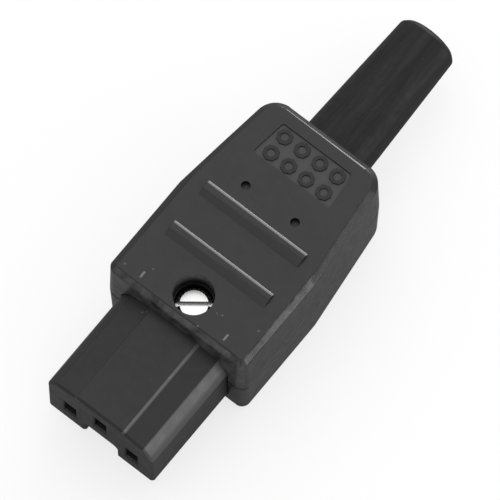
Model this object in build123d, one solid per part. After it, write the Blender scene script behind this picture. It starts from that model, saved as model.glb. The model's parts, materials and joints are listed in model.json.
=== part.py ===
from build123d import *
import os

# Rewireable appliance connector. Millimetres, +Z up, nose towards -Y, cord guard towards +Y.
# The origin is the middle of the footprint, on the plane that the base rests on.

# Nose that enters the appliance inlet
NOSE_WIDTH = 24.0
NOSE_HEIGHT = 16.0
NOSE_LENGTH = 21.1
NOSE_BOTTOM_CORNER = 0.8
NOSE_FRONT_BEVEL = 0.4
PAD_HALF_WIDTH = 5.2
PAD_EDGE_WIDTH = 0.4
PAD_EDGE_DROP = 0.5
SHOULDER_HALF_WIDTH = 9.9
SHOULDER_DROP = 1.3
CHAMFER_DROP = 3.8
NOSE_SIDE_ROUND = 4.0
KEYWAY_WIDTH = 7.2
KEYWAY_DEPTH = 4.2
KEYWAY_CORNER = 0.9

# Pin positions, measured from the middle of the nose
PIN_SPREAD = 14.0
PIN_ROW_OFFSET = 2.0
PIN_THICKNESS = 2.0
PIN_HEIGHT = 4.0
PIN_SLOT_CLEARANCE = 0.3
PIN_SLOT_LEAD = 0.3

# Housing
HOUSING_WIDTH = 31.6
HOUSING_NARROWING = 2.8
HOUSING_LENGTH = 44.8
HOUSING_HEIGHT = 24.0
AXIS_HEIGHT = 11.5
TAPER_START = 20.8
DRAFT_ANGLE = 1.5
FRONT_CORNER = 2.0
REAR_CORNER = 4.6
TOP_BEVEL = 1.1
BASE_BEVEL = 0.8
SEAM_BEVEL = 0.25
WALL = 2.2
REAR_SLOPE_LENGTH = 14.0
REAR_SLOPE_DROP = 0.5

# Tongue of the upper shell that sits inside the lower shell
TONGUE_THICKNESS = 0.9
TONGUE_DEPTH = 1.2

# Grip ribs across the top
RIB_LENGTH = 22.4
RIB_WIDTH = 3.1
RIB_HEIGHT = 0.8
RIB_FRONT_RAMP = 1.4
RIB_REAR_EDGE_LENGTH = 0.55
RIB_REAR_EDGE_DROP = 0.35
RIB_PITCH = 9.6
FIRST_RIB_SETBACK = 12.95
RIB_COUNT = 2

# Small marks on the top, and how deep raised marks are rooted in it
MARK_ROOT = 0.35
PIT_RADIUS = 0.85
PIT_DEPTH = 1.2
PIT_SPREAD = 11.2
PIT_SETBACK = 27.5
TICK_SPREAD = 18.9
TICK_SETBACK = 3.0
TICK_LENGTH = 1.4
TICK_WIDTH = 0.4
TICK_HEIGHT = 0.15

# Recessed panel near the cord, with plain raised rings
PANEL_FRONT_WIDTH = 17.4
PANEL_REAR_WIDTH = 15.6
PANEL_LENGTH = 7.6
PANEL_SETBACK = 33.4
PANEL_DEPTH = 0.35
PANEL_CORNER = 0.6
RING_RADIUS = 1.45
RING_SIDES = 8
RING_BAND = 0.7
RING_HEIGHT = 0.3
RING_COLUMNS = 4
RING_ROWS = 2
RING_PITCH = 4.0
RING_ROW_PITCH = 3.9

# Housing screw, its well and its nut
SCREW_SETBACK = 5.75
WELL_RADIUS = 3.8
WELL_SEAT_GAP = 0.3
WELL_WALL = 1.4
WELL_FLOOR = 1.5
SCREW_RADIUS = 1.5
SCREW_HEAD_RADIUS = 3.4
SCREW_HEAD_HEIGHT = 2.2
SCREW_HEAD_SHOULDER = 0.8
SCREW_SLOT_WIDTH = 0.8
SCREW_SLOT_DEPTH = 1.1
SCREW_SLOT_ANGLE = 38.0
SCREW_TIP_BELOW_NUT = 0.9
NUT_SIDES = 6
NUT_ACROSS_FLATS = 5.5
NUT_THICKNESS = 2.4
NUT_BOSS_WALL = 0.65
NUT_BOSS_TOP_GAP = 0.3

# Contact carrier behind the nose
FLANGE_THICKNESS = 1.5
FLANGE_GROWTH = 1.0
CARRIER_REACH = 19.0
CARRIER_HALF_WIDTH = 11.6
CARRIER_RISE = 3.5
CONTACT_FACE = 2.4
SIDE_CHAMBER_FLOOR = 1.7
EARTH_CHAMBER_FLOOR = 0.75

# Folded contacts
STRIP = 0.6
JAW_GAP = 1.7
JAW_LENGTH = 13.5
JAW_HEIGHT = 4.4
JAW_BULGE = 0.55
JAW_WAIST = 4.5
MOUTH_FLARE = 0.5
TAIL_HEIGHT = 2.8
TAIL_GRIP = 1.75
EARTH_TAIL_OFFSET = 3.2
JOG_LENGTH = 2.2
CONTACT_CLEARANCE = 0.3
CLIP_THICKNESS = 0.3
CLIP_LENGTH = 5.0
CLIP_HEIGHT = 3.0

# Terminal blocks and their screws
BLOCK_WIDTH = 4.6
BLOCK_LENGTH = 7.0
BLOCK_HEIGHT = 6.5
BLOCK_SETBACK = 9.0
EARTH_BLOCK_SETBACK = 11.4
BLOCK_CLEARANCE = 0.15
BLOCK_BEVEL = 0.3
WIRE_HOLE_RADIUS = 1.3
WIRE_HOLE_RISE = 2.2
TERMINAL_SCREW_SETBACK = 4.9
TERMINAL_SCREW_RADIUS = 1.25
TERMINAL_SCREW_LENGTH = 3.2
TERMINAL_HEAD_RADIUS = 2.0
TERMINAL_HEAD_HEIGHT = 1.5
TERMINAL_SLOT_WIDTH = 0.6
TERMINAL_SLOT_DEPTH = 0.8

# Cord clamp
CLAMP_SETBACK = 32.0
CLAMP_WIDTH = 19.0
CLAMP_LENGTH = 5.2
CLAMP_HEIGHT = 4.6
CLAMP_CORNER = 1.3
CLAMP_SCREW_SPREAD = 14.6
CLAMP_POST_RADIUS = 2.5
CLAMP_SCREW_RADIUS = 1.2
CLAMP_SCREW_GRIP = 5.0
CLAMP_HEAD_RADIUS = 2.1
CLAMP_HEAD_HEIGHT = 1.4
CORD_RADIUS = 3.8

# Cord guard
GUARD_LENGTH = 28.7
GUARD_BASE_RADIUS = 7.05
GUARD_TIP_RADIUS = 5.95
GUARD_BORE_RADIUS = 4.2
GUARD_TIP_BEVEL = 0.9
GUARD_COLLAR_RADIUS = 8.4
GUARD_COLLAR_LENGTH = 3.0

# Clearances
SLIDE_GAP = 0.15
HEAD_CLEARANCE = 0.2
THREAD_GAP = 0.05
REACH_PAST = 1.0

# How level a face is to count as top or base
LEVEL_SHARE = 0.95

# Places that follow from the sizes
OVERALL_LENGTH = NOSE_LENGTH + HOUSING_LENGTH + GUARD_LENGTH
NOSE_FRONT_Y = -OVERALL_LENGTH / 2
HOUSING_FRONT_Y = NOSE_FRONT_Y + NOSE_LENGTH
HOUSING_REAR_Y = HOUSING_FRONT_Y + HOUSING_LENGTH
INNER_FRONT_Y = HOUSING_FRONT_Y + WALL
INNER_REAR_Y = HOUSING_REAR_Y - WALL
GUARD_TIP_Y = HOUSING_REAR_Y + GUARD_LENGTH
NOSE_BASE_Z = AXIS_HEIGHT - NOSE_HEIGHT / 2
PIN_ROW_Z = AXIS_HEIGHT - PIN_ROW_OFFSET
EARTH_PIN_Z = AXIS_HEIGHT + PIN_ROW_OFFSET
KEYWAY_TOP_Z = NOSE_BASE_Z + KEYWAY_DEPTH
SCREW_Y = HOUSING_FRONT_Y + SCREW_SETBACK
WELL_BOSS_RADIUS = WELL_RADIUS + WELL_WALL
CARRIER_TOP_Z = AXIS_HEIGHT + CARRIER_RISE
WELL_BOSS_BASE_Z = CARRIER_TOP_Z + WELL_SEAT_GAP
SCREW_SEAT_Z = WELL_BOSS_BASE_Z + WELL_FLOOR
WELL_STEP_Z = SCREW_SEAT_Z + SCREW_HEAD_HEIGHT + HEAD_CLEARANCE
NUT_TOP_Z = KEYWAY_TOP_Z - NUT_BOSS_TOP_GAP
NUT_BASE_Z = NUT_TOP_Z - NUT_THICKNESS
CARRIER_REAR_Y = HOUSING_FRONT_Y + CARRIER_REACH
JAW_HALF_WIDTH = JAW_GAP / 2 + JAW_BULGE + STRIP
JAW_FRONT_Y = NOSE_FRONT_Y + CONTACT_FACE + CONTACT_CLEARANCE
JAW_REAR_Y = JAW_FRONT_Y + JAW_LENGTH
POCKET_HALF_WIDTH = JAW_HALF_WIDTH + CLIP_THICKNESS + CONTACT_CLEARANCE
CLAMP_Y = HOUSING_FRONT_Y + CLAMP_SETBACK


def box_between(x0, x1, y0, y1, z0, z1):
    """Block given by its two limits on each axis."""
    size = Box(x1 - x0, y1 - y0, z1 - z0)
    return Pos((x0 + x1) / 2, (y0 + y1) / 2, (z0 + z1) / 2) * size


def upright_cylinder(radius, x, y, z0, z1):
    """Cylinder along Z between two heights."""
    return Pos(x, y, (z0 + z1) / 2) * Cylinder(radius, z1 - z0)


def along_y(sketch, y0, y1):
    """Prism of an X-Z section between two stations along the connector."""
    section = Plane(origin=(0, y0, 0), x_dir=(1, 0, 0), z_dir=(0, -1, 0))
    return extrude(section * sketch, amount=-(y1 - y0))


def across_x(sketch, width):
    """Prism of a Y-Z section, centred across the connector."""
    section = Plane(origin=(0, 0, 0), x_dir=(0, 1, 0), z_dir=(1, 0, 0))
    return extrude(section * sketch, amount=width / 2, both=True)


# Housing form

def housing_outline():
    """Plan of the housing, parallel by the nose and tapered towards the cord."""
    front = HOUSING_WIDTH / 2
    rear = front - HOUSING_NARROWING
    taper_y = HOUSING_FRONT_Y + TAPER_START
    right = [(front, HOUSING_FRONT_Y), (front, taper_y), (rear, HOUSING_REAR_Y)]
    left = [(-x, y) for x, y in reversed(right)]
    outline = Polygon(*right, *left, align=None)
    outline = fillet(outline.vertices().group_by(Axis.Y)[-1], REAR_CORNER)
    return fillet(outline.vertices().group_by(Axis.Y)[0], FRONT_CORNER)


def rim_edges(solid, upward):
    """Edges round the outside of all faces that look up, or down."""
    faces = [f for f in solid.faces() if f.normal_at().Z * upward > LEVEL_SHARE]
    edges = [e for f in faces for e in f.edges()]
    shared = [e for e in edges if sum(e.is_same(other) for other in edges) > 1]
    return ShapeList([e for e in edges if not any(e.is_same(s) for s in shared)])


def half_form(height):
    """One drafted half of the housing, standing on the seam plane."""
    form = extrude(housing_outline(), amount=height, taper=DRAFT_ANGLE)
    return chamfer(form.faces().sort_by(Axis.Z)[0].edges(), SEAM_BEVEL)


def half_cavity(height):
    """Room inside one half, standing on the seam plane."""
    return extrude(offset(housing_outline(), amount=-WALL), amount=height - WALL)


def upper_form():
    """Outside of the upper half, with the top falling gently towards the cord."""
    form = Pos(0, 0, AXIS_HEIGHT) * half_form(HOUSING_HEIGHT - AXIS_HEIGHT)
    crease_y = HOUSING_REAR_Y - REAR_SLOPE_LENGTH
    end_y = HOUSING_REAR_Y + REACH_PAST
    end_drop = REAR_SLOPE_DROP * (end_y - crease_y) / REAR_SLOPE_LENGTH
    above = HOUSING_HEIGHT + REACH_PAST
    wedge = Polygon(
        (crease_y, HOUSING_HEIGHT),
        (end_y, HOUSING_HEIGHT - end_drop),
        (end_y, above),
        (crease_y, above),
        align=None,
    )
    form -= across_x(wedge, HOUSING_WIDTH + 2 * REACH_PAST)
    return chamfer(rim_edges(form, 1), TOP_BEVEL)


def lower_form():
    """Outside of the lower half, with a small bevel round the base."""
    form = mirror(half_form(AXIS_HEIGHT), about=Plane.XY)
    form = Pos(0, 0, AXIS_HEIGHT) * form
    return chamfer(rim_edges(form, -1), BASE_BEVEL)


# Sections of the nose and of its guard

def nose_section():
    """Nose section without the keyway: raised pad, shoulders and side chamfers."""
    top = NOSE_BASE_Z + NOSE_HEIGHT
    half = NOSE_WIDTH / 2
    right = [
        (half, NOSE_BASE_Z),
        (half, top - CHAMFER_DROP),
        (SHOULDER_HALF_WIDTH, top - SHOULDER_DROP),
        (PAD_HALF_WIDTH + PAD_EDGE_WIDTH, top - PAD_EDGE_DROP),
        (PAD_HALF_WIDTH, top),
    ]
    left = [(-x, z) for x, z in reversed(right)]
    section = Polygon(*right, *left, align=None)
    sides = [v for v in section.vertices() if abs(v.X) == half and v.Y > NOSE_BASE_Z]
    section = fillet(sides, NOSE_SIDE_ROUND)
    return fillet(section.vertices().group_by(Axis.Y)[0], NOSE_BOTTOM_CORNER)


def keyway_section():
    """Groove along the underside of the nose."""
    below = NOSE_BASE_Z - REACH_PAST - FLANGE_GROWTH
    half = KEYWAY_WIDTH / 2
    corners = [(-half, below), (half, below), (half, KEYWAY_TOP_Z), (-half, KEYWAY_TOP_Z)]
    groove = Polygon(*corners, align=None)
    return fillet(groove.vertices().group_by(Axis.Y)[-1], KEYWAY_CORNER)


def nose_passage():
    """Opening in the front wall that the nose passes through."""
    section = offset(nose_section(), amount=SLIDE_GAP)
    return along_y(section, HOUSING_FRONT_Y - REACH_PAST, INNER_FRONT_Y)


def guard_passage():
    """Opening in the rear wall that the cord guard passes through."""
    circle = Pos(0, AXIS_HEIGHT) * Circle(GUARD_BASE_RADIUS + SLIDE_GAP)
    return along_y(circle, INNER_REAR_Y, HOUSING_REAR_Y + REACH_PAST)


# Upper shell

def grip_rib(y):
    """Rib across the top with a long front ramp, a level crest and a bevelled rear edge."""
    front_y = y - RIB_WIDTH / 2
    rear_y = y + RIB_WIDTH / 2
    root = HOUSING_HEIGHT - MARK_ROOT
    crest = HOUSING_HEIGHT + RIB_HEIGHT
    section = Polygon(
        (front_y, root),
        (front_y, HOUSING_HEIGHT),
        (front_y + RIB_FRONT_RAMP, crest),
        (rear_y - RIB_REAR_EDGE_LENGTH, crest),
        (rear_y, crest - RIB_REAR_EDGE_DROP),
        (rear_y, root),
        align=None,
    )
    return across_x(section, RIB_LENGTH)


def sloped_top_z(y):
    """Height of the top surface at a station near the cord."""
    crease_y = HOUSING_REAR_Y - REAR_SLOPE_LENGTH
    return HOUSING_HEIGHT - REAR_SLOPE_DROP * (y - crease_y) / REAR_SLOPE_LENGTH


def panel_plane():
    """Plane on the sloped top, at the middle of the panel."""
    y = HOUSING_FRONT_Y + PANEL_SETBACK + PANEL_LENGTH / 2
    normal = (0, REAR_SLOPE_DROP, REAR_SLOPE_LENGTH)
    return Plane(origin=(0, y, sloped_top_z(y)), x_dir=(1, 0, 0), z_dir=normal)


def panel_recess():
    """Shallow recess whose sides follow the taper of the housing."""
    front = PANEL_FRONT_WIDTH / 2
    rear = PANEL_REAR_WIDTH / 2
    half = PANEL_LENGTH / 2
    outline = Polygon((-front, -half), (front, -half), (rear, half), (-rear, half), align=None)
    outline = fillet(outline.vertices(), PANEL_CORNER)
    return extrude(panel_plane() * outline, amount=PANEL_DEPTH, both=True)


def panel_rings():
    """Plain raised rings on the floor of the recess."""
    ring = RegularPolygon(RING_RADIUS, RING_SIDES, major_radius=False)
    ring -= RegularPolygon(RING_RADIUS - RING_BAND, RING_SIDES, major_radius=False)
    grid = GridLocations(RING_PITCH, RING_ROW_PITCH, RING_COLUMNS, RING_ROWS)
    floor = panel_plane().offset(-PANEL_DEPTH)
    rings = Sketch() + [place * ring for place in grid]
    return extrude(floor * rings, amount=RING_HEIGHT)


def screw_well_boss():
    """Round boss under the top that carries the screw head."""
    ceiling = HOUSING_HEIGHT - WALL
    return upright_cylinder(WELL_BOSS_RADIUS, 0, SCREW_Y, WELL_BOSS_BASE_Z, ceiling)


def seam_tongue(gap):
    """Thin wall that steps down from the upper shell into the lower one."""
    room = offset(housing_outline(), amount=-WALL)
    outer = offset(housing_outline(), amount=-(WALL - TONGUE_THICKNESS - gap))
    reach = TONGUE_DEPTH + gap
    ring = extrude(outer, amount=-reach) - extrude(room, amount=-reach)
    return Pos(0, 0, AXIS_HEIGHT) * ring


def top_tick(x):
    """Small raised tick near the front edge of the top."""
    y = HOUSING_FRONT_Y + TICK_SETBACK
    return box_between(
        x - TICK_WIDTH / 2,
        x + TICK_WIDTH / 2,
        y - TICK_LENGTH / 2,
        y + TICK_LENGTH / 2,
        HOUSING_HEIGHT - MARK_ROOT,
        HOUSING_HEIGHT + TICK_HEIGHT,
    )


def make_upper_shell():
    """Moulded upper half with ribs, panel, screw well and marks."""
    shell = upper_form()
    shell -= Pos(0, 0, AXIS_HEIGHT) * half_cavity(HOUSING_HEIGHT - AXIS_HEIGHT)
    shell += seam_tongue(0)
    shell += screw_well_boss()
    shell -= nose_passage()
    shell -= guard_passage()
    shell -= upright_cylinder(
        WELL_RADIUS, 0, SCREW_Y, WELL_STEP_Z, HOUSING_HEIGHT + REACH_PAST
    )
    shell -= upright_cylinder(
        SCREW_HEAD_RADIUS + HEAD_CLEARANCE, 0, SCREW_Y, SCREW_SEAT_Z, WELL_STEP_Z
    )
    shell -= upright_cylinder(
        SCREW_RADIUS + SLIDE_GAP, 0, SCREW_Y, WELL_BOSS_BASE_Z - REACH_PAST, SCREW_SEAT_Z
    )
    for index in range(RIB_COUNT):
        shell += grip_rib(HOUSING_FRONT_Y + FIRST_RIB_SETBACK + index * RIB_PITCH)
    for side in (-1, 1):
        x = side * PIT_SPREAD / 2
        y = HOUSING_FRONT_Y + PIT_SETBACK
        shell -= upright_cylinder(
            PIT_RADIUS, x, y, HOUSING_HEIGHT - PIT_DEPTH, HOUSING_HEIGHT + REACH_PAST
        )
        shell += top_tick(side * TICK_SPREAD / 2)
    shell -= panel_recess()
    shell += panel_rings()
    return shell


# Lower shell

def nut_boss():
    """Boss in the keyway of the carrier that holds the nut from below."""
    half = NUT_ACROSS_FLATS / 2 + NUT_BOSS_WALL
    return box_between(
        -half, half, INNER_FRONT_Y, SCREW_Y + half, WALL, NUT_TOP_Z
    )


def nut_sketch(extra):
    """Nut outline with two flats along the connector."""
    inner_radius = NUT_ACROSS_FLATS / 2 + extra
    turn = 180 / NUT_SIDES
    return RegularPolygon(inner_radius, NUT_SIDES, major_radius=False, rotation=turn)


def clamp_posts():
    """Two posts and a cradle under the cord."""
    posts = [
        upright_cylinder(CLAMP_POST_RADIUS, x, CLAMP_Y, WALL, AXIS_HEIGHT)
        for x in (-CLAMP_SCREW_SPREAD / 2, CLAMP_SCREW_SPREAD / 2)
    ]
    cradle = box_between(
        -CLAMP_SCREW_SPREAD / 2,
        CLAMP_SCREW_SPREAD / 2,
        CLAMP_Y - WALL / 2,
        CLAMP_Y + WALL / 2,
        WALL,
        AXIS_HEIGHT,
    )
    channel = Pos(0, AXIS_HEIGHT) * Circle(CORD_RADIUS)
    cradle -= along_y(channel, CLAMP_Y - WALL, CLAMP_Y + WALL)
    return posts[0] + posts[1] + cradle


def make_lower_shell():
    """Moulded lower half with nut boss and cord cradle."""
    shell = lower_form()
    cavity = mirror(half_cavity(AXIS_HEIGHT), about=Plane.XY)
    shell -= Pos(0, 0, AXIS_HEIGHT) * cavity
    shell -= seam_tongue(SLIDE_GAP)
    shell += nut_boss()
    shell += clamp_posts()
    shell -= nose_passage()
    shell -= guard_passage()
    pocket = Plane(origin=(0, SCREW_Y, NUT_BASE_Z)) * nut_sketch(SLIDE_GAP)
    shell -= extrude(pocket, amount=NUT_THICKNESS + REACH_PAST)
    tip_z = NUT_BASE_Z - SCREW_TIP_BELOW_NUT - SLIDE_GAP
    shell -= upright_cylinder(SCREW_RADIUS + SLIDE_GAP, 0, SCREW_Y, tip_z, NUT_BASE_Z)
    for x in (-CLAMP_SCREW_SPREAD / 2, CLAMP_SCREW_SPREAD / 2):
        shell -= upright_cylinder(
            CLAMP_SCREW_RADIUS + THREAD_GAP,
            x,
            CLAMP_Y,
            AXIS_HEIGHT - CLAMP_SCREW_GRIP - SLIDE_GAP,
            AXIS_HEIGHT + REACH_PAST,
        )
    return shell


# Contact carrier with the nose

def carrier_rear():
    """Block behind the flange that holds the terminals."""
    return box_between(
        -CARRIER_HALF_WIDTH,
        CARRIER_HALF_WIDTH,
        INNER_FRONT_Y,
        CARRIER_REAR_Y,
        NOSE_BASE_Z,
        CARRIER_TOP_Z,
    )


def pin_slot(x, z):
    """Slot for one pin through the face of the nose, with a small lead-in."""
    width = PIN_THICKNESS + 2 * PIN_SLOT_CLEARANCE
    height = PIN_HEIGHT + 2 * PIN_SLOT_CLEARANCE
    face = Plane(origin=(x, NOSE_FRONT_Y, z), x_dir=(1, 0, 0), z_dir=(0, -1, 0))
    inner = face.offset(-PIN_SLOT_LEAD)
    mouth = Rectangle(width + 2 * PIN_SLOT_LEAD, height + 2 * PIN_SLOT_LEAD)
    throat = Rectangle(width, height)
    lead = loft([face * mouth, inner * throat])
    return lead + extrude(face * throat, amount=-CONTACT_FACE)


def jaw_pocket(x, z):
    """Room in the nose for one folded contact."""
    half = POCKET_HALF_WIDTH
    rise = JAW_HEIGHT / 2 + CONTACT_CLEARANCE
    front_y = NOSE_FRONT_Y + CONTACT_FACE
    rear_y = JAW_REAR_Y + CONTACT_CLEARANCE
    return box_between(x - half, x + half, front_y, rear_y, z - rise, z + rise)


def tail_passage(path, z):
    """Passage for a contact tail, a little larger than the strip all round."""
    rise = TAIL_HEIGHT / 2 + CONTACT_CLEARANCE
    strip = strip_outline(path)
    room = offset(strip, amount=CONTACT_CLEARANCE, kind=Kind.INTERSECTION)
    return extrude(Plane(origin=(0, 0, z - rise)) * room, amount=2 * rise)


def terminal_chamber(x, z_floor, setback):
    """Room for a terminal block, open at the top and towards the cord."""
    half = BLOCK_WIDTH / 2 + BLOCK_CLEARANCE
    front_y = HOUSING_FRONT_Y + setback - BLOCK_CLEARANCE
    return box_between(
        x - half, x + half, front_y, CARRIER_REAR_Y + REACH_PAST,
        z_floor, CARRIER_TOP_Z + REACH_PAST,
    )


def make_contact_carrier():
    """Nose, flange and terminal block moulded in one."""
    nose = along_y(nose_section(), NOSE_FRONT_Y, INNER_FRONT_Y + FLANGE_THICKNESS)
    nose -= along_y(keyway_section(), NOSE_FRONT_Y - REACH_PAST, HOUSING_REAR_Y)
    nose = chamfer(nose.faces().sort_by(Axis.Y)[0].edges(), NOSE_FRONT_BEVEL)
    flange_section = offset(nose_section(), amount=FLANGE_GROWTH)
    flange = along_y(flange_section, INNER_FRONT_Y, INNER_FRONT_Y + FLANGE_THICKNESS)
    behind = flange + carrier_rear()
    behind -= along_y(keyway_section(), NOSE_FRONT_Y, HOUSING_REAR_Y)
    carrier = nose + behind
    well = upright_cylinder(
        WELL_BOSS_RADIUS + SLIDE_GAP,
        0,
        SCREW_Y,
        WELL_BOSS_BASE_Z - SLIDE_GAP,
        HOUSING_HEIGHT,
    )
    carrier -= well
    carrier -= upright_cylinder(
        SCREW_RADIUS + SLIDE_GAP, 0, SCREW_Y, NOSE_BASE_Z, HOUSING_HEIGHT
    )
    for x, z, path, floor, setback in contact_places():
        carrier -= pin_slot(x, z)
        carrier -= jaw_pocket(x, z)
        carrier -= tail_passage(path, z)
        carrier -= terminal_chamber(x, floor, setback)
    return carrier


# Contacts

def contact_places():
    """Pin place, tail path, chamber floor and block setback of the three contacts."""
    side_floor = NOSE_BASE_Z + SIDE_CHAMBER_FLOOR
    earth_floor = KEYWAY_TOP_Z + EARTH_CHAMBER_FLOOR
    side_x = PIN_SPREAD / 2
    return [
        (-side_x, PIN_ROW_Z, straight_path(-side_x), side_floor, BLOCK_SETBACK),
        (side_x, PIN_ROW_Z, straight_path(side_x), side_floor, BLOCK_SETBACK),
        (0, EARTH_PIN_Z, stepped_path(), earth_floor, EARTH_BLOCK_SETBACK),
    ]


def straight_path(x):
    """Tail that runs straight from the jaws to its block."""
    return [(x, JAW_REAR_Y - STRIP / 2), (x, HOUSING_FRONT_Y + BLOCK_SETBACK + TAIL_GRIP)]


def stepped_path():
    """Earth tail that steps aside to pass the housing screw."""
    out_y = HOUSING_FRONT_Y
    back_y = HOUSING_FRONT_Y + EARTH_BLOCK_SETBACK
    return [
        (0, JAW_REAR_Y - STRIP / 2),
        (0, out_y - JOG_LENGTH),
        (-EARTH_TAIL_OFFSET, out_y),
        (-EARTH_TAIL_OFFSET, back_y - JOG_LENGTH - STRIP),
        (0, back_y - STRIP),
        (0, back_y + TAIL_GRIP),
    ]


def cut_square(outline, y0, y1):
    """Part of a plan between two stations, so that its ends are square."""
    window = Pos(0, (y0 + y1) / 2) * Rectangle(HOUSING_WIDTH, y1 - y0)
    return outline & window


def strip_outline(path):
    """Plan of a strip of constant thickness along a path."""
    strip = make_face(offset(Polyline(*path), amount=STRIP / 2, kind=Kind.INTERSECTION))
    return cut_square(strip, path[0][1], path[-1][1])


def jaw_outline(x):
    """Plan of the folded jaws: a web at the rear and two bowed leaves with flared mouths."""
    bulge = JAW_GAP / 2 + JAW_BULGE + STRIP / 2
    throat = JAW_GAP / 2 + STRIP / 2
    mouth = throat + MOUTH_FLARE
    throat_y = JAW_FRONT_Y + 2 * STRIP + MOUTH_FLARE
    waist_y = throat_y + JAW_WAIST
    rear_y = JAW_REAR_Y - STRIP / 2
    leaf = [
        (mouth, JAW_FRONT_Y - STRIP),
        (throat, throat_y),
        (bulge, waist_y),
        (bulge, rear_y),
    ]
    other = [(-px, py) for px, py in reversed(leaf)]
    path = Polyline(*leaf, *other)
    jaws = make_face(offset(path, amount=STRIP / 2, kind=Kind.INTERSECTION))
    return Pos(x, 0) * cut_square(jaws, JAW_FRONT_Y, JAW_REAR_Y)


def make_contact(x, z, path):
    """Folded contact: jaws for the pin and a tail for the terminal."""
    low = z - JAW_HEIGHT / 2
    jaws = extrude(Plane(origin=(0, 0, low)) * jaw_outline(x), amount=JAW_HEIGHT)
    low = z - TAIL_HEIGHT / 2
    tail = extrude(Plane(origin=(0, 0, low)) * strip_outline(path), amount=TAIL_HEIGHT)
    return jaws + tail


def make_spring_clip(x, z):
    """Steel clip open at the front that presses the leaves together."""
    inner = JAW_HALF_WIDTH + THREAD_GAP
    outer = inner + CLIP_THICKNESS - THREAD_GAP
    rear_y = JAW_REAR_Y - 2 * STRIP
    front_y = rear_y - CLIP_LENGTH
    rise = CLIP_HEIGHT / 2
    bridge_low = z + JAW_HEIGHT / 2 + THREAD_GAP
    left = box_between(x - outer, x - inner, front_y, rear_y, z - rise, bridge_low)
    right = box_between(x + inner, x + outer, front_y, rear_y, z - rise, bridge_low)
    bridge = box_between(
        x - outer, x + outer, front_y, rear_y, bridge_low, bridge_low + CONTACT_CLEARANCE / 2
    )
    return left + right + bridge


# Terminals

def make_terminal_block(x, z_floor, z_tail, setback):
    """Brass block with a wire hole, a screw hole and a slot for the tail."""
    front_y = HOUSING_FRONT_Y + setback
    rear_y = front_y + BLOCK_LENGTH
    half = BLOCK_WIDTH / 2
    block = box_between(x - half, x + half, front_y, rear_y, z_floor, z_floor + BLOCK_HEIGHT)
    block = chamfer(block.edges().filter_by(Axis.Y), BLOCK_BEVEL)
    wire_z = z_floor + WIRE_HOLE_RISE
    wire_hole = Pos(x, wire_z) * Circle(WIRE_HOLE_RADIUS)
    block -= along_y(wire_hole, front_y + BLOCK_LENGTH / 2, rear_y + REACH_PAST)
    block -= upright_cylinder(
        TERMINAL_SCREW_RADIUS + THREAD_GAP, x, terminal_screw_y(setback), wire_z,
        z_floor + BLOCK_HEIGHT + REACH_PAST,
    )
    slot_half = STRIP / 2 + THREAD_GAP
    rise = TAIL_HEIGHT / 2 + THREAD_GAP
    block -= box_between(
        x - slot_half, x + slot_half, front_y - REACH_PAST,
        front_y + TAIL_GRIP + slot_half, z_tail - rise, z_tail + rise,
    )
    return block


def terminal_screw_y(setback):
    """Station of the screw in a terminal block."""
    return HOUSING_FRONT_Y + setback + TERMINAL_SCREW_SETBACK


def slotted_screw(head_radius, head_height, shoulder, radius, length, slot_width, slot_depth):
    """Screw standing on Z, seat at zero, with a bevelled head and a straight slot across it."""
    head = Pos(0, 0, head_height / 2) * Cylinder(head_radius, head_height)
    if shoulder > 0:
        head = chamfer(head.edges().group_by(Axis.Z)[-1], shoulder)
    shank = upright_cylinder(radius, 0, 0, -length, 0)
    slot = box_between(
        -head_radius, head_radius, -slot_width / 2, slot_width / 2,
        head_height - slot_depth, head_height + REACH_PAST,
    )
    return head + shank - slot


def make_terminal_screw(x, z_floor, setback):
    """Small cheese-head screw seated on its block."""
    screw = slotted_screw(
        TERMINAL_HEAD_RADIUS, TERMINAL_HEAD_HEIGHT, 0, TERMINAL_SCREW_RADIUS,
        TERMINAL_SCREW_LENGTH, TERMINAL_SLOT_WIDTH, TERMINAL_SLOT_DEPTH,
    )
    return Pos(x, terminal_screw_y(setback), z_floor + BLOCK_HEIGHT) * screw


# Housing screw and nut

def make_housing_screw():
    """Screw with a raised face at the foot of the well."""
    length = SCREW_SEAT_Z - NUT_BASE_Z + SCREW_TIP_BELOW_NUT
    screw = slotted_screw(
        SCREW_HEAD_RADIUS, SCREW_HEAD_HEIGHT, SCREW_HEAD_SHOULDER, SCREW_RADIUS,
        length, SCREW_SLOT_WIDTH, SCREW_SLOT_DEPTH,
    )
    return Pos(0, SCREW_Y, SCREW_SEAT_Z) * Rot(0, 0, SCREW_SLOT_ANGLE) * screw


def make_housing_nut():
    """Hexagon nut in the pocket of the lower shell."""
    sketch = nut_sketch(0) - Circle(SCREW_RADIUS + THREAD_GAP)
    return extrude(Plane(origin=(0, SCREW_Y, NUT_BASE_Z)) * sketch, amount=NUT_THICKNESS)


# Cord clamp and guard

def make_cord_clamp():
    """Arched bar that presses the cord on its cradle."""
    clamp = box_between(
        -CLAMP_WIDTH / 2, CLAMP_WIDTH / 2, CLAMP_Y - CLAMP_LENGTH / 2, CLAMP_Y + CLAMP_LENGTH / 2,
        AXIS_HEIGHT, AXIS_HEIGHT + CLAMP_HEIGHT,
    )
    clamp = chamfer(clamp.edges().filter_by(Axis.Z), CLAMP_CORNER)
    arch = Pos(0, AXIS_HEIGHT) * Circle(CORD_RADIUS)
    clamp -= along_y(arch, CLAMP_Y - CLAMP_LENGTH, CLAMP_Y + CLAMP_LENGTH)
    for x in (-CLAMP_SCREW_SPREAD / 2, CLAMP_SCREW_SPREAD / 2):
        clamp -= upright_cylinder(
            CLAMP_SCREW_RADIUS + SLIDE_GAP, x, CLAMP_Y, AXIS_HEIGHT, AXIS_HEIGHT + CLAMP_HEIGHT
        )
    return clamp


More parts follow.
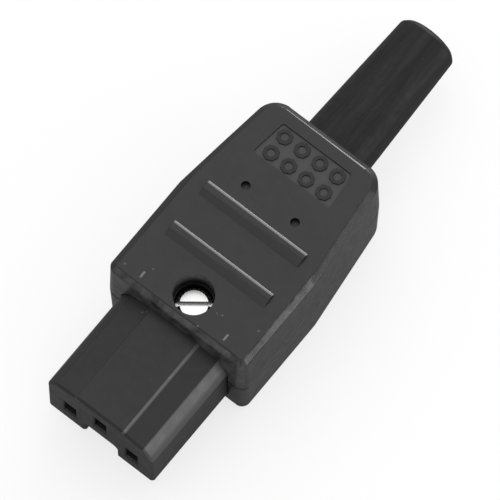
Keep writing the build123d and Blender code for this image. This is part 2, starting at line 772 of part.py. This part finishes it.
def make_clamp_screw(side):
    """Screw of the cord clamp, seated on the bar."""
    screw = slotted_screw(
        CLAMP_HEAD_RADIUS, CLAMP_HEAD_HEIGHT, 0, CLAMP_SCREW_RADIUS,
        CLAMP_HEIGHT + CLAMP_SCREW_GRIP, TERMINAL_SLOT_WIDTH, TERMINAL_SLOT_DEPTH,
    )
    return Pos(side * CLAMP_SCREW_SPREAD / 2, CLAMP_Y, AXIS_HEIGHT + CLAMP_HEIGHT) * screw


def make_cord_guard():
    """Tapered sleeve with a collar held behind the rear wall."""
    collar_y = INNER_REAR_Y - GUARD_COLLAR_LENGTH
    profile = Polygon(
        (GUARD_BORE_RADIUS, collar_y),
        (GUARD_COLLAR_RADIUS, collar_y),
        (GUARD_COLLAR_RADIUS, INNER_REAR_Y),
        (GUARD_BASE_RADIUS, INNER_REAR_Y),
        (GUARD_BASE_RADIUS, HOUSING_REAR_Y),
        (GUARD_TIP_RADIUS, GUARD_TIP_Y),
        (GUARD_BORE_RADIUS, GUARD_TIP_Y),
        align=None,
    )
    tip = profile.vertices().group_by(Axis.Y)[-1].sort_by(Axis.X)[-1]
    profile = chamfer(tip, GUARD_TIP_BEVEL)
    sleeve = revolve(profile, axis=Axis.Y)
    return Pos(0, 0, AXIS_HEIGHT) * sleeve


def build():
    """All pieces of the connector by name."""
    pieces = {
        "upper_shell": make_upper_shell(),
        "lower_shell": make_lower_shell(),
        "contact_carrier": make_contact_carrier(),
        "housing_screw": make_housing_screw(),
        "housing_nut": make_housing_nut(),
        "cord_clamp": make_cord_clamp(),
        "cord_clamp_screw_left": make_clamp_screw(-1),
        "cord_clamp_screw_right": make_clamp_screw(1),
        "cord_guard": make_cord_guard(),
    }
    names = ["line", "neutral", "earth"]
    for name, (x, z, path, floor, setback) in zip(names, contact_places()):
        pieces[name + "_contact"] = make_contact(x, z, path)
        pieces[name + "_spring_clip"] = make_spring_clip(x, z)
        pieces[name + "_terminal_block"] = make_terminal_block(x, floor, z, setback)
        pieces[name + "_terminal_screw"] = make_terminal_screw(x, floor, setback)
    return pieces


os.makedirs("parts", exist_ok=True)
for node, shape in build().items():
    export_step(shape, f"parts/{node}.step")
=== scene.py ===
import json
import math

import bmesh
import bpy
from mathutils import Matrix, Vector


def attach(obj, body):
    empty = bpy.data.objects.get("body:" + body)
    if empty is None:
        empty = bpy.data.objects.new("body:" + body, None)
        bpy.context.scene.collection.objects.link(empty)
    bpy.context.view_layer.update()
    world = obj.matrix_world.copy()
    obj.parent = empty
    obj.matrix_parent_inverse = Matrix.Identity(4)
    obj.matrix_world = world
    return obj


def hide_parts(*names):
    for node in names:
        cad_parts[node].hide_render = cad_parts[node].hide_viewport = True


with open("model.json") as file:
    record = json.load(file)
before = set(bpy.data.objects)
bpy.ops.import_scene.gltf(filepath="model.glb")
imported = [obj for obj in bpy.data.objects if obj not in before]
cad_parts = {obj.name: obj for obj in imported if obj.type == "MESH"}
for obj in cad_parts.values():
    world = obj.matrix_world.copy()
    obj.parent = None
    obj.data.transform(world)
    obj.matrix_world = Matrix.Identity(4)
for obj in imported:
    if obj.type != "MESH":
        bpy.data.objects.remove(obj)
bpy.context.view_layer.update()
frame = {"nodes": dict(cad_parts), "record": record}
nodes = frame["nodes"]

MM = 0.001
IMAGE_PX = 500
SENSOR_MM = 36.0

# Camera: square pixels, at the photograph's viewing angle
VIEW_AZIMUTH = math.radians(39.35)
VIEW_ELEVATION = math.radians(70.84)
VIEW_ROLL = math.radians(-0.758)
VIEW_SCALE = 5.589
VIEW_DISTANCE = 1666.7
TARGET = Vector((0.0, 0.0, 12.0))
TARGET_PIXEL = (265.96, 231.77)
CLIP_NEAR = 0.1
CLIP_FAR = 10.0

# Places and reaches, in millimetres, by which the frame's faces and edges are told apart.
# The housing as a whole, its top's slope towards the rear as a fall per millimetre
HOUSING_FRONT_Y = -26.2
HOUSING_REAR_Y = 18.6
HOUSING_HALF_WIDTH = 15.8
REAR_NARROWING = 2.8
TAPER_Y = -5.4
TOP_Z = 24.0
SLOPE_START_Y = 4.6
SLOPE_FALL = 0.5 / 14.0
AXIS_Z = 11.5

# The bevel round the top, and the straight stretches of it as a middle and half a length
RIM_REACH = 1.7
RIM_DEPTH = 2.1
FRONT_STRETCH = (-14.8, 3.0)
REAR_STRETCH = (5.0, 4.0)
LINE_HALF_LENGTH = 3.0
# Band and depth by the rear edge that take the painted highlight
REAR_LINE_BAND = 2.0
REAR_LINE_DEPTH = 1.2

# The housing's outside, the hole for the guard in its rear wall, and its places with painted light
OUTSIDE_REACH = 1.0
OUTSIDE_DEPTH = 1.5
GUARD_HOLE = 9.0
GUARD_HOLE_BAND = 3.0
FRONT_BAND = 1.6
FRONT_FOOT_Z = 14.0
PAINTED_LIGHT_SIDE_REAR_Y = -9.0
PAINTED_LIGHT_SIDE_DEPTH = 1.6

# The panel, the pits and the screw well
PANEL_Y = (6.9, 15.1)
PANEL_HALF_WIDTH = 8.8
PANEL_REACH_DOWN = 2.0
PANEL_FLOOR_DEPTH = 0.3
RING_INSET = 1.0
PIT_PLACES = ((-5.6, 1.3), (5.6, 1.3))
PIT_REACH = 1.05
PIT_DEPTHS = (0.05, 1.6)
WELL_PLACE = (0.0, -20.45)
WELL_REACH = 4.0
WELL_RIM_DEPTH = 0.4
SLOT_REACH = 2.55

# The ribs with their ramps, and the ticks beside the well
RIB_STARTS = (12.95, 22.55)
RIB_WIDTH = 3.1
RIB_REAR_BAND = (-0.8, 0.1)
RIB_CREST_RISE = 0.2
RAMP_REACH = 1.6
RAMP_FOOT_DEPTH = 0.1
RAMP_HALF_MIDDLE = 1.0
TICK_REAR_Y = -22.0
TICK_INNER_X = 8.0
TICK_RISES = (0.01, 0.2)
TICK_FOOT_DEPTH = 0.05

# The nose with its raised strip, and the guard
NOSE_ROOT_GAP = 0.5
NOSE_TIP_Y = -46.2
NOSE_KEY_Z = 6.0
NOSE_TOP_Z = 14.0
NOSE_BEVEL_FOOT_Z = 11.5
STRIP_FOOT_Z = 17.5
STRIP_HALF_WIDTH = 7.0
GUARD_ROOT_GAP = 1.0

# Largest faces that a mask takes, in square millimetres
RING_FACE = 8.0
HIGHLIGHT_FACE = 20.0
PAINTED_LIGHT_FACE = 40.0
NOSE_EDGE_FACE = 100.0


def view_axes():
    """Direction to the camera, and the picture's right and up, in the part's frame."""
    flat = math.cos(VIEW_ELEVATION)
    look = Vector((
        math.sin(VIEW_AZIMUTH) * flat,
        -math.cos(VIEW_AZIMUTH) * flat,
        math.sin(VIEW_ELEVATION),
    ))
    right = Vector((0, 0, 1)).cross(look).normalized()
    up = look.cross(right)
    c, s = math.cos(VIEW_ROLL), math.sin(VIEW_ROLL)
    return look, c * right + s * up, c * up - s * right


def add_camera():
    """Camera on the fitted line of sight, with the target at its place in the picture."""
    look, right, up = view_axes()
    across = (IMAGE_PX / 2 - TARGET_PIXEL[0]) / VIEW_SCALE
    rise = (TARGET_PIXEL[1] - IMAGE_PX / 2) / VIEW_SCALE
    aim = TARGET + across * right + rise * up
    place = (aim + VIEW_DISTANCE * look) * MM
    data = bpy.data.cameras.new("camera")
    data.sensor_width = SENSOR_MM
    data.lens = VIEW_SCALE * VIEW_DISTANCE / IMAGE_PX * SENSOR_MM
    data.clip_start = CLIP_NEAR
    data.clip_end = CLIP_FAR
    camera = bpy.data.objects.new("camera", data)
    camera.matrix_world = Matrix((
        (right.x, up.x, look.x, place.x),
        (right.y, up.y, look.y, place.y),
        (right.z, up.z, look.z, place.z),
        (0, 0, 0, 1),
    ))
    bpy.context.scene.collection.objects.link(camera)
    bpy.context.scene.camera = camera


# Materials: scales of their noise, in cells per millimetre
MOTTLE_CELLS = 0.25
STREAK_CELLS = 0.9
DUST_CELLS = 3.2
PATCH_CELLS = 0.35
GLOSS_CELLS = 0.6
WAVE_CELLS = 0.12
STAIN_CELLS = 0.5

# Bump: depths in millimetres, and strengths
WAVE_DEPTH = 0.12
WAVE_STRENGTH = 0.5
MARK_DEPTH = 0.01
MARK_STRENGTH = 0.4

# Range of the noise that becomes dust, and of the noise that becomes patches and streaks
DUST_RANGE = (0.72, 0.76)
PATCH_RANGE = (0.35, 0.65)


def new_material(name):
    """Material with its node tree and its shader."""
    material = bpy.data.materials.new(name)
    material.use_nodes = True
    tree = material.node_tree
    shader = next(n for n in tree.nodes if n.type == "BSDF_PRINCIPLED")
    return material, tree, shader


def noise(tree, coords, scale, detail=2.0, rough=0.5, stretch=None):
    """Noise factor in object space, its scale in cells per millimetre."""
    source = coords
    if stretch is not None:
        mapping = tree.nodes.new("ShaderNodeMapping")
        mapping.inputs["Scale"].default_value = stretch
        tree.links.new(coords, mapping.inputs["Vector"])
        source = mapping.outputs["Vector"]
    node = tree.nodes.new("ShaderNodeTexNoise")
    node.inputs["Scale"].default_value = scale / MM
    node.inputs["Detail"].default_value = detail
    node.inputs["Roughness"].default_value = rough
    tree.links.new(source, node.inputs["Vector"])
    return node.outputs["Fac"]


def ramp(tree, factor, low, high, start=0.3, end=0.7):
    """Factor mapped to a range of values."""
    node = tree.nodes.new("ShaderNodeMapRange")
    node.inputs["From Min"].default_value = start
    node.inputs["From Max"].default_value = end
    node.inputs["To Min"].default_value = low
    node.inputs["To Max"].default_value = high
    tree.links.new(factor, node.inputs["Value"])
    return node.outputs["Result"]


def math_node(tree, operation, first, second):
    """Result of a sum on two sockets or numbers."""
    node = tree.nodes.new("ShaderNodeMath")
    node.operation = operation
    for index, value in enumerate((first, second)):
        if isinstance(value, (int, float)):
            node.inputs[index].default_value = value
        else:
            tree.links.new(value, node.inputs[index])
    return node.outputs["Value"]


def mix_colour(tree, factor, first, second):
    """Blend of two colours, each a tuple or a socket."""
    node = tree.nodes.new("ShaderNodeMix")
    node.data_type = "RGBA"
    for name, value in (("A", first), ("B", second)):
        if isinstance(value, tuple):
            node.inputs[name].default_value = (*value, 1)
        else:
            tree.links.new(value, node.inputs[name])
    tree.links.new(factor, node.inputs["Factor"])
    return node.outputs["Result"]


def bump(tree, height, distance, strength, below=None):
    """Normal from a height, its distance in millimetres, on top of another normal."""
    node = tree.nodes.new("ShaderNodeBump")
    node.inputs["Distance"].default_value = distance * MM
    node.inputs["Strength"].default_value = strength
    tree.links.new(height, node.inputs["Height"])
    if below is not None:
        tree.links.new(below, node.inputs["Normal"])
    return node.outputs["Normal"]


def mask(tree, name):
    """Mask that the mesh carries for one kind of surface."""
    node = tree.nodes.new("ShaderNodeAttribute")
    node.attribute_name = name
    return node.outputs["Fac"]


def near_spots(tree, coords, spots):
    """One within any of some small balls, given as place and radius in millimetres."""
    total = None
    for x, y, z, radius in spots:
        node = tree.nodes.new("ShaderNodeVectorMath")
        node.operation = "DISTANCE"
        node.inputs[1].default_value = (x * MM, y * MM, z * MM)
        tree.links.new(coords, node.inputs[0])
        inside = math_node(tree, "LESS_THAN", node.outputs["Value"], radius * MM)
        total = inside if total is None else math_node(tree, "MAXIMUM", total, inside)
    return total


def moulded_plastic(name, dark, light, rough, grain, grain_depth, ior=1.5,
                    streaks=None, spots=(), masks=()):
    """Black moulded plastic: mottling, uneven gloss, a fine grain, dust, and masked parts, among
    them painted light, shade and highlights.
    """
    material, tree, shader = new_material(name)
    coords = tree.nodes.new("ShaderNodeTexCoord").outputs["Object"]
    mottle = noise(tree, coords, MOTTLE_CELLS, 4.0, 0.6)
    if streaks is not None:
        lines = noise(tree, coords, STREAK_CELLS, 4.0, 0.6, streaks)
        mottle = ramp(tree, lines, 0, 1, *PATCH_RANGE)
    colour = mix_colour(tree, mottle, dark, light)
    dust = ramp(tree, noise(tree, coords, DUST_CELLS, 1.0, 0.5), 0, DUST_SHARE, *DUST_RANGE)
    colour = mix_colour(tree, dust, colour, DUST)
    patches = ramp(tree, noise(tree, coords, PATCH_CELLS, 3.0, 0.6), 0, 1, *PATCH_RANGE)
    # Masked parts in their own colours, among them painted shade, painted light and painted
    # highlights
    for mask_name, shade, share in masks:
        cover = math_node(tree, "MULTIPLY", mask(tree, mask_name), share)
        if mask_name in PATCHY:
            cover = math_node(tree, "MULTIPLY", cover, patches)
        colour = mix_colour(tree, cover, colour, shade)
    if spots:
        colour = mix_colour(tree, near_spots(tree, coords, spots), colour, SPECK)
    tree.links.new(colour, shader.inputs["Base Color"])
    gloss = noise(tree, coords, GLOSS_CELLS, 4.0, 0.6)
    tree.links.new(ramp(tree, gloss, rough[0], rough[1]), shader.inputs["Roughness"])
    wave = noise(tree, coords, WAVE_CELLS, 2.0)
    fine = noise(tree, coords, grain, 3.0, 0.7)
    normal = bump(tree, wave, WAVE_DEPTH, WAVE_STRENGTH)
    normal = bump(tree, fine, grain_depth, 1.0, normal)
    tree.links.new(normal, shader.inputs["Normal"])
    shader.inputs["IOR"].default_value = ior
    return material


def metal(name, colour, shade, rough, grain, stretch=None, painted_shade=None):
    """Plated or stamped metal with fine marks, and painted shade where a mask is given."""
    material, tree, shader = new_material(name)
    coords = tree.nodes.new("ShaderNodeTexCoord").outputs["Object"]
    stain = noise(tree, coords, STAIN_CELLS, 4.0, 0.6)
    base = mix_colour(tree, stain, shade, colour)
    # Painted shade where the mask is set
    if painted_shade is not None:
        base = mix_colour(tree, mask(tree, painted_shade), base, SLOT_SHADE)
    tree.links.new(base, shader.inputs["Base Color"])
    marks = noise(tree, coords, grain, 3.0, 0.6, stretch)
    tree.links.new(ramp(tree, marks, rough[0], rough[1]), shader.inputs["Roughness"])
    normal = bump(tree, marks, MARK_DEPTH, MARK_STRENGTH)
    tree.links.new(normal, shader.inputs["Normal"])
    shader.inputs["Metallic"].default_value = 1.0
    return material


# Masks that only show in patches: the painted light on the housing's front and right bevel
PATCHY = ("painted_light_patches",)

# Dust and specks that the photograph shows: colours, then places and radii in millimetres
DUST = (0.09, 0.09, 0.09)
DUST_SHARE = 0.35
SPECK = (0.12, 0.12, 0.12)
# Painted shade for the walls of the screw's slot
SLOT_SHADE = (0.06, 0.06, 0.06)
HOUSING_SPOTS = (
    (-13.2, -23.5, 24.0, 0.2),
    (6.4, -20.3, 24.0, 0.17),
    (5.4, -20.6, 24.0, 0.12),
    (4.2, -24.6, 24.0, 0.2),
    (-8.6, -21.2, 24.0, 0.16),
    (13.2, -18.6, 24.0, 0.18),
)
NOSE_SPOTS = ((-6.2, -27.4, 19.0, 0.2), (-5.6, -26.9, 19.0, 0.18), (2.6, -41.0, 19.0, 0.16))

MATERIALS = {
    "housing_plastic": moulded_plastic(
        "housing_plastic", (0.01, 0.01, 0.0105), (0.023, 0.023, 0.0235), (0.27, 0.38),
        7.0, 0.012, spots=HOUSING_SPOTS,
        masks=(
            ("panel_floor", (0.05, 0.05, 0.051), 1.0),
            ("panel_ring", (0.003, 0.003, 0.003), 1.0),
            # Painted shade in the pits and the screw well
            ("pit_shade", (0.002, 0.002, 0.002), 1.0),
            # Painted light on the front-facing ramps, against their shade
            ("ramp", (0.032, 0.032, 0.0325), 1.0),
            # Painted highlight on the rear edges of the ribs and the top, and on the ticks
            ("painted_highlight", (0.22, 0.22, 0.22), 0.9),
            # Painted light in patches on the front over the nose and on the right bevel near it
            ("painted_light_patches", (0.1, 0.1, 0.1), 0.9),
        ),
    ),
    "nose_plastic": moulded_plastic(
        "nose_plastic", (0.011, 0.011, 0.0115), (0.017, 0.017, 0.0175), (0.38, 0.48),
        6.0, 0.006, spots=NOSE_SPOTS,
        masks=(
            # Painted highlight on the right edge of the raised strip and the bevel beside it
            ("painted_highlight", (0.11, 0.11, 0.11), 0.8),
            # Painted light on the left edge of the raised strip, against its shade
            ("ramp", (0.034, 0.034, 0.0345), 1.0),
        ),
    ),
    "guard_rubber": moulded_plastic(
        "guard_rubber", (0.004, 0.004, 0.0042), (0.015, 0.015, 0.0153), (0.5, 0.62),
        4.0, 0.01, ior=1.42, streaks=(1.0, 0.1, 1.0),
    ),
    "clamp_plastic": moulded_plastic(
        "clamp_plastic", (0.03, 0.03, 0.031), (0.04, 0.04, 0.041), (0.4, 0.5), 6.0, 0.008
    ),
    # Plated steel, with painted shade on the walls of the screw's slot
    "plated_steel": metal(
        "plated_steel", (0.95, 0.95, 0.94), (0.86, 0.86, 0.86), (0.2, 0.3), 5.0, painted_shade="slot_shade"
    ),
    "spring_steel": metal(
        "spring_steel", (0.5, 0.5, 0.51), (0.38, 0.38, 0.39), (0.25, 0.4), 5.0, (1.0, 0.1, 1.0)
    ),
    "contact_brass": metal(
        "contact_brass", (0.8, 0.62, 0.3), (0.6, 0.43, 0.2), (0.25, 0.42), 5.0, (1.0, 0.1, 1.0)
    ),
}


def slot_of(node):
    """Material slot that the record gives a CAD node."""
    for row in frame["record"]["subparts"]:
        if row["node"] == node:
            return row["material_slot"]
    raise KeyError(node)


def finish_nodes():
    """Give each CAD node the material of its slot."""
    for name, obj in nodes.items():
        obj.data.materials.clear()
        obj.data.materials.append(MATERIALS[slot_of(name)])


# Rounded copies, in degrees and millimetres: edges above EDGE_ANGLE are rounded. Shading breaks
# at edges above HARD_EDGE, and at those above FAINT_CREASE between faces larger than BROAD_FACE
EDGE_ANGLE = 22.0
HARD_EDGE = 32.0
FAINT_CREASE = 0.7
BROAD_FACE = 5.0
FLAT_ANGLE = 0.5
MERGE_DISTANCE = 0.002


def sharp_edges(bm, angle):
    """Edges between two faces that meet at more than the angle."""
    limit = math.radians(angle)
    return [e for e in bm.edges if len(e.link_faces) == 2 and e.calc_face_angle(0) > limit]


def keep_creases(bm):
    """Mark hard edges sharp, and the faint creases between large flat faces."""
    for edge in bm.edges:
        edge.smooth = True
        if len(edge.link_faces) != 2:
            continue
        angle = edge.calc_face_angle(0)
        small = min(face.calc_area() for face in edge.link_faces)
        broad = small > BROAD_FACE * MM * MM and angle > math.radians(FAINT_CREASE)
        edge.smooth = not (broad or angle > math.radians(HARD_EDGE))


def slope_z(y):
    """Height of the housing's top at a station along it."""
    return TOP_Z - SLOPE_FALL * max(0.0, y - SLOPE_START_Y)


def from_place(p, place):
    """Distance from an upright axis at a place."""
    return math.hypot(p.x - place[0], p.y - place[1])


def on_panel(p):
    """Within the panel's recess."""
    along = PANEL_Y[0] < p.y < PANEL_Y[1]
    return abs(p.x) < PANEL_HALF_WIDTH and along and p.z > TOP_Z - PANEL_REACH_DOWN


# Kinds of surface: each test gets a face's middle, its direction, of length 1, and its area

def is_ring(p, n, area):
    """Tops and sides of the rings, which stand above the panel's floor."""
    above = p.z > slope_z(p.y) - PANEL_FLOOR_DEPTH and abs(p.x) < PANEL_HALF_WIDTH - RING_INSET
    return on_panel(p) and above and area < RING_FACE


def is_floor(p, n, area):
    """Floor of the panel."""
    return on_panel(p) and n.z > 0.9 and p.z < slope_z(p.y) - PANEL_FLOOR_DEPTH


def is_pit_shade(p, n, area):
    """Inside of the two pits and of the screw well, painted with shade."""
    near = any(from_place(p, place) < PIT_REACH for place in PIT_PLACES)
    pit_shade = near and TOP_Z - PIT_DEPTHS[1] < p.z < TOP_Z - PIT_DEPTHS[0]
    well = from_place(p, WELL_PLACE) < WELL_REACH and p.z < TOP_Z - WELL_RIM_DEPTH
    return pit_shade or well


def is_painted_light_patch(p, n, area):
    """Front of the housing over the nose, and the right bevel near it, painted lighter as light."""
    front = n.y < -0.6 and p.y < HOUSING_FRONT_Y + FRONT_BAND and p.z > FRONT_FOOT_Z
    bevel = n.x > 0.4 and n.z > 0.3 and p.z > TOP_Z - PAINTED_LIGHT_SIDE_DEPTH
    return front or (bevel and p.y < PAINTED_LIGHT_SIDE_REAR_Y and area < PAINTED_LIGHT_FACE)


def is_painted_highlight(p, n, area):
    """Rear edges of the ribs and of the housing's top, and the two ticks, which carry a painted
    highlight.
    """
    rib = p.z > TOP_Z + RIB_CREST_RISE and n.y > 0.2 and n.z > 0.3
    by_rear = p.y > HOUSING_REAR_Y - REAR_LINE_BAND and p.z > TOP_Z - REAR_LINE_DEPTH
    rear = by_rear and 0.3 < n.y < 0.66 and abs(p.x) < LINE_HALF_LENGTH
    tick = TOP_Z + TICK_RISES[0] < p.z < TOP_Z + TICK_RISES[1] and p.y < TICK_REAR_Y
    return (rib or rear or tick) and area < HIGHLIGHT_FACE


def is_lightened_ramp(p, n, area):
    """Ramps in front of the ribs, painted lighter as light."""
    return p.z > TOP_Z and n.y < -0.1 and p.y > TICK_REAR_Y


def is_nose_highlight(p, n, area):
    """Right edge of the raised strip on the nose, and the bevel and rounding beside it, which carry
    a painted highlight.
    """
    return p.z > NOSE_BEVEL_FOOT_Z and n.x > 0.3 and 0.1 < n.z < 0.97 and area < NOSE_EDGE_FACE


def is_lightened_left_edge(p, n, area):
    """Left edge of the raised strip on the nose, painted lighter as light."""
    return p.z > STRIP_FOOT_Z and n.x < -0.2 and n.z > 0.2 and abs(p.x) < STRIP_HALF_WIDTH


def is_slot_shade(p, n, area):
    """Walls of the slot in the housing screw, which get painted shade."""
    return n.z < 0.5 and from_place(p, WELL_PLACE) < SLOT_REACH


def set_masks(mesh, masks):
    """Write a mask for each kind of surface, from the faces' middles and directions."""
    for name, test in masks:
        layer = mesh.attributes.new(name, "FLOAT_COLOR", "CORNER")
        for face in mesh.polygons:
            value = 1.0 if test(face.center / MM, face.normal, face.area / MM / MM) else 0.0
            for corner in face.loop_indices:
                layer.data[corner].color = (value, value, value, 1.0)


def edge_middle(edge):
    """Middle of an edge, in millimetres."""
    return (edge.verts[0].co + edge.verts[1].co) / 2 / MM


def rounded_copy(node, groups, name, masks=()):
    """Copy of a CAD node with groups of its hard edges rounded, each edge only once.

    A group is a test of an edge's middle, the rounding's width in millimetres and its segments.
    """
    bm = bmesh.new()
    bm.from_mesh(nodes[node].data)
    bmesh.ops.remove_doubles(bm, verts=bm.verts, dist=MERGE_DISTANCE * MM)
    bmesh.ops.dissolve_limit(
        bm, angle_limit=math.radians(FLAT_ANGLE), use_dissolve_boundaries=False,
        verts=bm.verts, edges=bm.edges,
    )
    rounded = bm.faces.layers.int.new("rounded")
    for pick, width, segments in groups:
        chosen = [
            e for e in sharp_edges(bm, EDGE_ANGLE)
            if pick(edge_middle(e)) and not any(f[rounded] for f in e.link_faces)
        ]
        result = bmesh.ops.bevel(
            bm, geom=chosen, offset=width * MM, offset_type="OFFSET", segments=segments,
            profile=0.5, affect="EDGES", clamp_overlap=False, loop_slide=False,
        )
        for face in result["faces"]:
            face[rounded] = 1
    keep_creases(bm)
    mesh = bpy.data.meshes.new(name)
    bm.to_mesh(mesh)
    bm.free()
    for face in mesh.polygons:
        face.use_smooth = True
    set_masks(mesh, masks)
    piece = bpy.data.objects.new(name, mesh)
    bpy.context.scene.collection.objects.link(piece)
    weighted = piece.modifiers.new("weighted normals", "WEIGHTED_NORMAL")
    weighted.keep_sharp = True
    weighted.weight = 100
    slot = slot_of(node)
    mesh.materials.append(MATERIALS[slot])
    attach(piece, "root")
    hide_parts(node)


def half_width(y):
    """Half of the housing's width at a station along it."""
    taper = REAR_NARROWING * max(0.0, y - TAPER_Y) / (HOUSING_REAR_Y - TAPER_Y)
    return HOUSING_HALF_WIDTH - taper


# Edges to round: each test gets an edge's middle

def top_rim(p):
    """Edges of the bevel round the housing's top."""
    by_end = p.y < HOUSING_FRONT_Y + RIM_REACH or p.y > HOUSING_REAR_Y - RIM_REACH
    by_side = abs(p.x) > half_width(p.y) - RIM_REACH
    return p.z > TOP_Z - RIM_DEPTH and (by_end or by_side)


def long_rim(p):
    """Straight stretches of that bevel, between the corners."""
    stretches = (FRONT_STRETCH, REAR_STRETCH)
    along = any(abs(p.y - middle) < half_length for middle, half_length in stretches)
    by_side = abs(p.x) > half_width(p.y) - RIM_REACH and along
    return top_rim(p) and (abs(p.x) < LINE_HALF_LENGTH or by_side)


def rib_rears(p):
    """Rear edges of the ribs."""
    rears = [HOUSING_FRONT_Y + start + RIB_WIDTH for start in RIB_STARTS]
    near = any(RIB_REAR_BAND[0] < p.y - rear < RIB_REAR_BAND[1] for rear in rears)
    return near and p.z > TOP_Z + RIB_CREST_RISE


def by_ramp(p):
    """Foot and crest of the ramps in front of the ribs, which stay as they are."""
    near = any(abs(p.y - (HOUSING_FRONT_Y + start)) < RAMP_REACH for start in RIB_STARTS)
    return near and p.z > TOP_Z - RAMP_FOOT_DEPTH and abs(p.x) < RAMP_HALF_MIDDLE


def small_marks(p):
    """Edges of the ticks, the panel and its rings."""
    tick = p.z > TOP_Z - TICK_FOOT_DEPTH and p.y < TICK_REAR_Y and abs(p.x) > TICK_INNER_X
    return (tick and p.y > HOUSING_FRONT_Y + RIM_REACH) or on_panel(p)


def outside(p):
    """Edges that can be seen on the housing, not those in its closed room."""
    side = abs(p.x) > half_width(p.y) - OUTSIDE_REACH
    end = p.y < HOUSING_FRONT_Y + OUTSIDE_REACH or p.y > HOUSING_REAR_Y - OUTSIDE_REACH
    top_or_base = p.z > TOP_Z - OUTSIDE_DEPTH or p.z < OUTSIDE_REACH
    in_hole = math.hypot(p.x, p.z - AXIS_Z) < GUARD_HOLE
    by_guard = p.y > HOUSING_REAR_Y - GUARD_HOLE_BAND and in_hole
    return (side or end or top_or_base) and not (by_guard or by_ramp(p))


def on_nose(p):
    """Edges of the nose outside the housing, but for those on its sides."""
    edge = p.y < NOSE_TIP_Y or p.z < NOSE_KEY_Z or p.z > NOSE_TOP_Z
    return p.y < HOUSING_FRONT_Y - NOSE_ROOT_GAP and edge


def on_guard(p):
    """Edges of the cord guard outside the housing."""
    return p.y > HOUSING_REAR_Y + GUARD_ROOT_GAP


# Light and floor: sizes in metres
LAMP_DISTANCE = 1.0
FLOOR_HALF_SIZE = 3.0
FLOOR_GAP = 0.02 * MM
FLOOR_COLOUR = 0.36
FLOOR_GLOW = 0.72
FLOOR_MIRROR_GLOW = 0.08
WORLD_LIGHT = 0.6


def softbox(name, direction, size, radiance):
    """Lamp seen from the part in a direction, given by the light that its face sends out."""
    data = bpy.data.lights.new(name, "AREA")
    data.shape = "RECTANGLE"
    data.size = size[0]
    data.size_y = size[1]
    data.energy = radiance * math.pi * size[0] * size[1]
    lamp = bpy.data.objects.new(name, data)
    away = Vector(direction).normalized()
    lamp.location = TARGET * MM + away * LAMP_DISTANCE
    lamp.rotation_euler = away.to_track_quat("Z", "Y").to_euler()
    bpy.context.scene.collection.objects.link(lamp)


def add_floor():
    """Plain floor."""
    size = FLOOR_HALF_SIZE
    mesh = bpy.data.meshes.new("floor")
    mesh.from_pydata(
        [(-size, -size, 0), (size, -size, 0), (size, size, 0), (-size, size, 0)],
        [], [(0, 1, 2, 3)],
    )
    floor = bpy.data.objects.new("floor", mesh)
    floor.location.z = -FLOOR_GAP
    material, tree, shader = new_material("floor")
    shader.inputs["Base Color"].default_value = (FLOOR_COLOUR, FLOOR_COLOUR, FLOOR_COLOUR, 1)
    shader.inputs["Roughness"].default_value = 0.9
    shader.inputs["Specular IOR Level"].default_value = 0.1
    # Seen directly or through glass the floor glows, so that it stays white and keeps the shadow
    rays = tree.nodes.new("ShaderNodeLightPath").outputs
    seen = math_node(tree, "MAXIMUM", rays["Is Camera Ray"], rays["Is Transmission Ray"])
    direct = math_node(tree, "MULTIPLY", seen, FLOOR_GLOW)
    mirrored = math_node(tree, "MULTIPLY", rays["Is Glossy Ray"], FLOOR_MIRROR_GLOW)
    shader.inputs["Emission Color"].default_value = (1, 1, 1, 1)
    tree.links.new(math_node(tree, "MAXIMUM", direct, mirrored), shader.inputs["Emission Strength"])
    mesh.materials.append(material)
    bpy.context.scene.collection.objects.link(floor)


def add_world():
    """Even white light from all sides."""
    world = bpy.data.worlds.new("world")
    world.use_nodes = True
    background = world.node_tree.nodes["Background"]
    background.inputs["Color"].default_value = (1, 1, 1, 1)
    background.inputs["Strength"].default_value = WORLD_LIGHT
    bpy.context.scene.world = world


add_camera()
bpy.context.scene.view_settings.view_transform = "Standard"
finish_nodes()

# Each rounded copy stands for the CAD node of its first argument
rounded_copy(
    "upper_shell",
    [
        (long_rim, 0.3, 4), (top_rim, 0.1, 3), (rib_rears, 0.06, 2), (small_marks, 0.05, 2),
        (outside, 0.08, 2),
    ],
    "upper_shell_moulding",
    (
        # Masks: the panel's floor and rings, painted shade in the pits, painted light on the ramps
        ("panel_floor", is_floor), ("panel_ring", is_ring), ("pit_shade", is_pit_shade), ("ramp", is_lightened_ramp),
        # Painted highlight on the rear edges, and painted light on the front over the nose and its
        # right bevel
        ("painted_highlight", is_painted_highlight), ("painted_light_patches", is_painted_light_patch),
    ),
)
rounded_copy("lower_shell", [(outside, 0.1, 2)], "lower_shell_moulding")
rounded_copy(
    "contact_carrier", [(on_nose, 0.12, 3)], "nose_moulding",
    # Masks: a painted highlight on the strip's right edge, painted light on its left edge
    (("painted_highlight", is_nose_highlight), ("ramp", is_lightened_left_edge)),
)
rounded_copy(
    "housing_screw", [(lambda p: True, 0.06, 2)], "housing_screw_turning",
    # Mask: painted shade on the slot's walls
    (("slot_shade", is_slot_shade),),
)
rounded_copy("cord_guard", [(on_guard, 0.25, 3)], "cord_guard_sleeve")

softbox("overhead", direction=(-0.2, 0.27, 0.94), size=(0.9, 0.9), radiance=0.6)
softbox("right", direction=(0.98, 0.2, 0.08), size=(0.5, 0.15), radiance=8.0)
softbox("rear", direction=(-0.2, 0.95, 0.18), size=(0.7, 0.28), radiance=8.0)
add_floor()
add_world()
